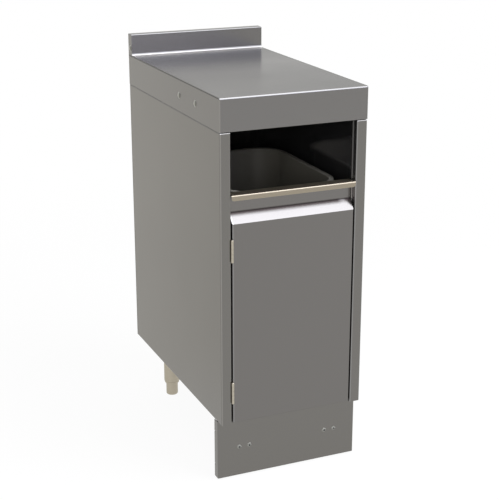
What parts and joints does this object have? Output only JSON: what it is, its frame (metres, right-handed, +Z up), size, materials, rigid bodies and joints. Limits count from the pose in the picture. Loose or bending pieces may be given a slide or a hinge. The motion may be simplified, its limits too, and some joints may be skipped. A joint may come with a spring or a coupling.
{
  "type": "underbar cabinet",
  "caption": "Narrow stainless underbar cabinet with splash, open waste chute over a hinged door, bin inside, kick plate and levelling legs.",
  "frame": {"origin": "on the floor, under the middle of the cabinet body (width and depth over worktop and splash)", "axes": "+Z up; the door and the open chute face -Y, the splash is at +Y; +X to the right as seen by someone facing the door, so the hinges are on the -X side"},
  "size_m": [0.3582, 0.6163, 0.9674],
  "materials": {
    "worktop_steel": "satin stainless worktop, brushed across the width",
    "body_steel": "satin stainless sheet, fine upright grain",
    "door_steel": "satin stainless sheet, fine upright grain",
    "inner_steel": "plain mill finish stainless",
    "warm_steel": "warm brushed stainless, slightly straw coloured",
    "plug_steel": "satin pressed cap",
    "fastener": "bright stainless fastener",
    "catch_plastic": "grey moulded catch housing",
    "magnet": "dark sintered magnet",
    "bumper_rubber": "black rubber",
    "bin_plastic": "dark olive moulded polyethylene, slight orange peel"
  },
  "bodies": {
    "cabinet": {"worktop": "worktop_steel", "top_channels": "inner_steel", "top_bolts": "fastener", "hole_plugs": "plug_steel", "left_side_panel": "body_steel", "right_side_panel": "body_steel", "rear_panel": "body_steel", "rear_rivets": "fastener", "bottom_pan": "body_steel", "leg_plates": "inner_steel", "leg_screws": "fastener", "leg_tubes": "warm_steel", "leg_inserts": "warm_steel", "kick_plate": "body_steel", "kick_clips": "inner_steel", "kick_screws": "fastener", "kick_nuts": "fastener", "upper_frame_leaf": "warm_steel", "upper_hinge_pin": "warm_steel", "lower_frame_leaf": "warm_steel", "lower_hinge_pin": "warm_steel", "frame_leaf_screws": "fastener", "catch_housing": "catch_plastic", "catch_magnet": "magnet", "catch_screws": "fastener"},
    "door": {"door_skin": "door_steel", "door_liner": "door_steel", "door_pull": "warm_steel", "upper_door_leaf": "warm_steel", "lower_door_leaf": "warm_steel", "door_leaf_screws": "fastener", "strike_plate": "fastener", "strike_rivets": "fastener", "door_bumpers": "bumper_rubber"},
    "bin": {"waste_bin": "bin_plastic"},
    "front_left_foot": {"front_left_foot": "warm_steel"},
    "front_right_foot": {"front_right_foot": "warm_steel"},
    "rear_left_foot": {"rear_left_foot": "warm_steel"},
    "rear_right_foot": {"rear_right_foot": "warm_steel"}
  },
  "joints": [
    {"name": "door_swing", "type": "hinge", "parent": "cabinet", "child": "door", "pos_m": [-0.1508, -0.3083, 0.403], "axis": [0, 0, -1], "range_deg": [0, 180]},
    {"name": "bin_slide", "type": "slide", "parent": "cabinet", "child": "bin", "axis": [0, 1, 0], "range_m": [0, 0.188]},
    {"name": "front_left_foot_level", "type": "slide", "parent": "cabinet", "child": "front_left_foot", "axis": [0, 0, -1], "range_m": [0, 0.025]},
    {"name": "front_right_foot_level", "type": "slide", "parent": "cabinet", "child": "front_right_foot", "axis": [0, 0, -1], "range_m": [0, 0.025]},
    {"name": "rear_left_foot_level", "type": "slide", "parent": "cabinet", "child": "rear_left_foot", "axis": [0, 0, -1], "range_m": [0, 0.025]},
    {"name": "rear_right_foot_level", "type": "slide", "parent": "cabinet", "child": "rear_right_foot", "axis": [0, 0, -1], "range_m": [0, 0.025]}
  ]
}
